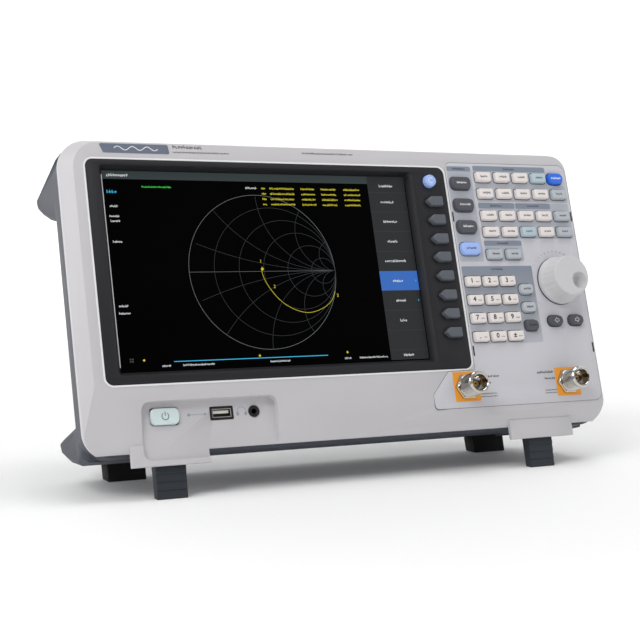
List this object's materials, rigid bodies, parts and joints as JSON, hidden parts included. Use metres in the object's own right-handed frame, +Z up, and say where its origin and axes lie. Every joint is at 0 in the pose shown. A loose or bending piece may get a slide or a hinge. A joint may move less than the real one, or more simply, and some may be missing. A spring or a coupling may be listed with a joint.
{
  "type": "vector network analyzer",
  "caption": "Bench vector network analyzer with a wide screen, keypad, tuning knob, two type N ports, fold-out front legs, top handle and rear connector panel.",
  "frame": {"origin": "middle of the bounding box's bottom, on the bench under the leaning case", "axes": "+X to the case's right as seen from the front, +Y from the front towards the back, +Z up from the bench"},
  "size_m": [0.393, 0.159, 0.226],
  "materials": {
    "bezel_plastic": "fine moulded texture, light warm grey",
    "panel_plastic": "fine moulded texture with printed tints",
    "surround_plastic": "charcoal, fine moulded texture",
    "screen_glass": "clear, slight anti-reflection coat",
    "black_plastic": "black, satin",
    "silicone_rubber": "matt silicone",
    "circuit_board": "green solder resist",
    "zinc_plate": "zinc-plated sheet",
    "brass_shaft": "turned",
    "knob_plastic": "light grey, satin",
    "nickel_plate": "bright nickel plate",
    "white_insulator": "turned insulator, waxy",
    "gilt_contact": "gilded",
    "power_button_plastic": "pale blue-green, translucent look",
    "leg_plastic": "dark blue-grey moulded texture",
    "cover_plastic": "blue-grey spark-eroded texture",
    "foot_rubber": "matt black rubber",
    "cast_aluminium": "machined casting",
    "dark_key_plastic": "satin",
    "sky_key_plastic": "satin",
    "blue_key_plastic": "satin to gloss",
    "cream_key_plastic": "satin",
    "grey_key_plastic": "satin"
  },
  "bodies": {
    "case": {"front_bezel": "bezel_plastic", "keypad_panel": "panel_plastic", "display_surround": "surround_plastic", "display_glass": "screen_glass", "display_module": "black_plastic", "key_mat": "silicone_rubber", "keypad_board": "circuit_board", "rotary_encoder": "zinc_plate", "port_connectors": "nickel_plate", "port_insulators": "white_insulator", "port_contacts": "gilt_contact", "usb_socket": "nickel_plate", "phones_jack": "black_plastic", "front_io_board": "circuit_board", "pivot_pins": "zinc_plate", "rear_cover": "cover_plastic", "cover_screws": "zinc_plate", "rear_feet": "foot_rubber", "inner_chassis": "zinc_plate", "main_board": "circuit_board", "rf_shield": "cast_aluminium", "power_supply": "zinc_plate", "fan_frame": "black_plastic", "rear_io_panel": "zinc_plate", "mains_inlet": "black_plastic", "data_sockets": "nickel_plate", "bnc_sockets": "nickel_plate"},
    "leg_left": {"leg_left": "leg_plastic"},
    "leg_right": {"leg_right": "leg_plastic"},
    "knob": {"tuning_knob": "knob_plastic", "encoder_shaft": "brass_shaft"},
    "handle": {"carry_handle": "leg_plastic"},
    "fan": {"fan_rotor": "black_plastic"},
    "power_button": {"power_button": "power_button_plastic"},
    "soft_key_1": {"soft_key_1": "dark_key_plastic"},
    "soft_key_2": {"soft_key_2": "dark_key_plastic"},
    "soft_key_3": {"soft_key_3": "dark_key_plastic"},
    "soft_key_4": {"soft_key_4": "dark_key_plastic"},
    "soft_key_5": {"soft_key_5": "dark_key_plastic"},
    "soft_key_6": {"soft_key_6": "dark_key_plastic"},
    "soft_key_7": {"soft_key_7": "dark_key_plastic"},
    "soft_key_8": {"soft_key_8": "dark_key_plastic"},
    "menu_back_key": {"menu_back_key": "sky_key_plastic"},
    "control_key_1": {"control_key_1": "dark_key_plastic"},
    "control_key_2": {"control_key_2": "dark_key_plastic"},
    "control_key_3": {"control_key_3": "dark_key_plastic"},
    "control_key_4": {"control_key_4": "sky_key_plastic"},
    "preset_key": {"preset_key": "blue_key_plastic"},
    "arrow_left": {"arrow_left": "dark_key_plastic"},
    "arrow_right": {"arrow_right": "dark_key_plastic"},
    "function_row_1": {"function_row_1": "cream_key_plastic"},
    "function_row_2": {"function_row_2": "cream_key_plastic"},
    "function_row_3": {"function_row_3": "cream_key_plastic"},
    "function_row_4": {"function_row_4": "cream_key_plastic"},
    "measure_row": {"measure_row": "grey_key_plastic"},
    "number_row_1": {"number_row_1": "cream_key_plastic"},
    "number_row_2": {"number_row_2": "cream_key_plastic"},
    "number_row_3": {"number_row_3": "cream_key_plastic"},
    "number_row_4": {"number_row_4": "cream_key_plastic"},
    "edit_keys": {"edit_keys": "grey_key_plastic"}
  },
  "joints": [
    {"name": "leg_left_fold", "type": "hinge", "parent": "case", "child": "leg_left", "pos_m": [-0.1405, -0.05755, 0.02467], "axis": [1, 0, 0], "range_deg": [0, 84]},
    {"name": "leg_right_fold", "type": "hinge", "parent": "case", "child": "leg_right", "pos_m": [0.1405, -0.05755, 0.02467], "axis": [1, 0, 0], "range_deg": [0, 84]},
    {"name": "knob_turn", "type": "hinge", "parent": "case", "child": "knob", "pos_m": [0.1717, -0.04864, 0.13443], "axis": [0, -0.9592, 0.2828], "continuous": true},
    {"name": "handle_lift", "type": "hinge", "parent": "case", "child": "handle", "pos_m": [0, 0.06607, 0.18401], "axis": [-1, 0, 0], "range_deg": [0, 95]},
    {"name": "fan_spin", "type": "hinge", "parent": "case", "child": "fan", "pos_m": [-0.118, 0.05147, 0.13097], "axis": [0, 0.9592, -0.2828], "continuous": true},
    {"name": "power_press", "type": "slide", "parent": "case", "child": "power_button", "axis": [0, 0.9592, -0.2828], "range_m": [0, 0.001], "stiffness_N_per_m": 500, "springref_m": -0.001},
    {"name": "soft_key_1_press", "type": "slide", "parent": "case", "child": "soft_key_1", "axis": [0, 0.9592, -0.2828], "range_m": [0, 0.0012], "stiffness_N_per_m": 400, "springref_m": -0.001},
    {"name": "soft_key_2_press", "type": "slide", "parent": "case", "child": "soft_key_2", "axis": [0, 0.9592, -0.2828], "range_m": [0, 0.0012], "stiffness_N_per_m": 400, "springref_m": -0.001},
    {"name": "soft_key_3_press", "type": "slide", "parent": "case", "child": "soft_key_3", "axis": [0, 0.9592, -0.2828], "range_m": [0, 0.0012], "stiffness_N_per_m": 400, "springref_m": -0.001},
    {"name": "soft_key_4_press", "type": "slide", "parent": "case", "child": "soft_key_4", "axis": [0, 0.9592, -0.2828], "range_m": [0, 0.0012], "stiffness_N_per_m": 400, "springref_m": -0.001},
    {"name": "soft_key_5_press", "type": "slide", "parent": "case", "child": "soft_key_5", "axis": [0, 0.9592, -0.2828], "range_m": [0, 0.0012], "stiffness_N_per_m": 400, "springref_m": -0.001},
    {"name": "soft_key_6_press", "type": "slide", "parent": "case", "child": "soft_key_6", "axis": [0, 0.9592, -0.2828], "range_m": [0, 0.0012], "stiffness_N_per_m": 400, "springref_m": -0.001},
    {"name": "soft_key_7_press", "type": "slide", "parent": "case", "child": "soft_key_7", "axis": [0, 0.9592, -0.2828], "range_m": [0, 0.0012], "stiffness_N_per_m": 400, "springref_m": -0.001},
    {"name": "soft_key_8_press", "type": "slide", "parent": "case", "child": "soft_key_8", "axis": [0, 0.9592, -0.2828], "range_m": [0, 0.0012], "stiffness_N_per_m": 400, "springref_m": -0.001},
    {"name": "menu_back_key_press", "type": "slide", "parent": "case", "child": "menu_back_key", "axis": [0, 0.9592, -0.2828], "range_m": [0, 0.0012], "stiffness_N_per_m": 400, "springref_m": -0.001},
    {"name": "control_key_1_press", "type": "slide", "parent": "case", "child": "control_key_1", "axis": [0, 0.9592, -0.2828], "range_m": [0, 0.0012], "stiffness_N_per_m": 400, "springref_m": -0.001},
    {"name": "control_key_2_press", "type": "slide", "parent": "case", "child": "control_key_2", "axis": [0, 0.9592, -0.2828], "range_m": [0, 0.0012], "stiffness_N_per_m": 400, "springref_m": -0.001},
    {"name": "control_key_3_press", "type": "slide", "parent": "case", "child": "control_key_3", "axis": [0, 0.9592, -0.2828], "range_m": [0, 0.0012], "stiffness_N_per_m": 400, "springref_m": -0.001},
    {"name": "control_key_4_press", "type": "slide", "parent": "case", "child": "control_key_4", "axis": [0, 0.9592, -0.2828], "range_m": [0, 0.0012], "stiffness_N_per_m": 400, "springref_m": -0.001},
    {"name": "preset_key_press", "type": "slide", "parent": "case", "child": "preset_key", "axis": [0, 0.9592, -0.2828], "range_m": [0, 0.0012], "stiffness_N_per_m": 400, "springref_m": -0.001},
    {"name": "arrow_left_press", "type": "slide", "parent": "case", "child": "arrow_left", "axis": [0, 0.9592, -0.2828], "range_m": [0, 0.0012], "stiffness_N_per_m": 400, "springref_m": -0.001},
    {"name": "arrow_right_press", "type": "slide", "parent": "case", "child": "arrow_right", "axis": [0, 0.9592, -0.2828], "range_m": [0, 0.0012], "stiffness_N_per_m": 400, "springref_m": -0.001},
    {"name": "function_row_1_press", "type": "slide", "parent": "case", "child": "function_row_1", "axis": [0, 0.9592, -0.2828], "range_m": [0, 0.0012], "stiffness_N_per_m": 400, "springref_m": -0.001},
    {"name": "function_row_2_press", "type": "slide", "parent": "case", "child": "function_row_2", "axis": [0, 0.9592, -0.2828], "range_m": [0, 0.0012], "stiffness_N_per_m": 400, "springref_m": -0.001},
    {"name": "function_row_3_press", "type": "slide", "parent": "case", "child": "function_row_3", "axis": [0, 0.9592, -0.2828], "range_m": [0, 0.0012], "stiffness_N_per_m": 400, "springref_m": -0.001},
    {"name": "function_row_4_press", "type": "slide", "parent": "case", "child": "function_row_4", "axis": [0, 0.9592, -0.2828], "range_m": [0, 0.0012], "stiffness_N_per_m": 400, "springref_m": -0.001},
    {"name": "measure_row_press", "type": "slide", "parent": "case", "child": "measure_row", "axis": [0, 0.9592, -0.2828], "range_m": [0, 0.0012], "stiffness_N_per_m": 400, "springref_m": -0.001},
    {"name": "number_row_1_press", "type": "slide", "parent": "case", "child": "number_row_1", "axis": [0, 0.9592, -0.2828], "range_m": [0, 0.0012], "stiffness_N_per_m": 400, "springref_m": -0.001},
    {"name": "number_row_2_press", "type": "slide", "parent": "case", "child": "number_row_2", "axis": [0, 0.9592, -0.2828], "range_m": [0, 0.0012], "stiffness_N_per_m": 400, "springref_m": -0.001},
    {"name": "number_row_3_press", "type": "slide", "parent": "case", "child": "number_row_3", "axis": [0, 0.9592, -0.2828], "range_m": [0, 0.0012], "stiffness_N_per_m": 400, "springref_m": -0.001},
    {"name": "number_row_4_press", "type": "slide", "parent": "case", "child": "number_row_4", "axis": [0, 0.9592, -0.2828], "range_m": [0, 0.0012], "stiffness_N_per_m": 400, "springref_m": -0.001},
    {"name": "edit_keys_press", "type": "slide", "parent": "case", "child": "edit_keys", "axis": [0, 0.9592, -0.2828], "range_m": [0, 0.0012], "stiffness_N_per_m": 400, "springref_m": -0.001}
  ]
}
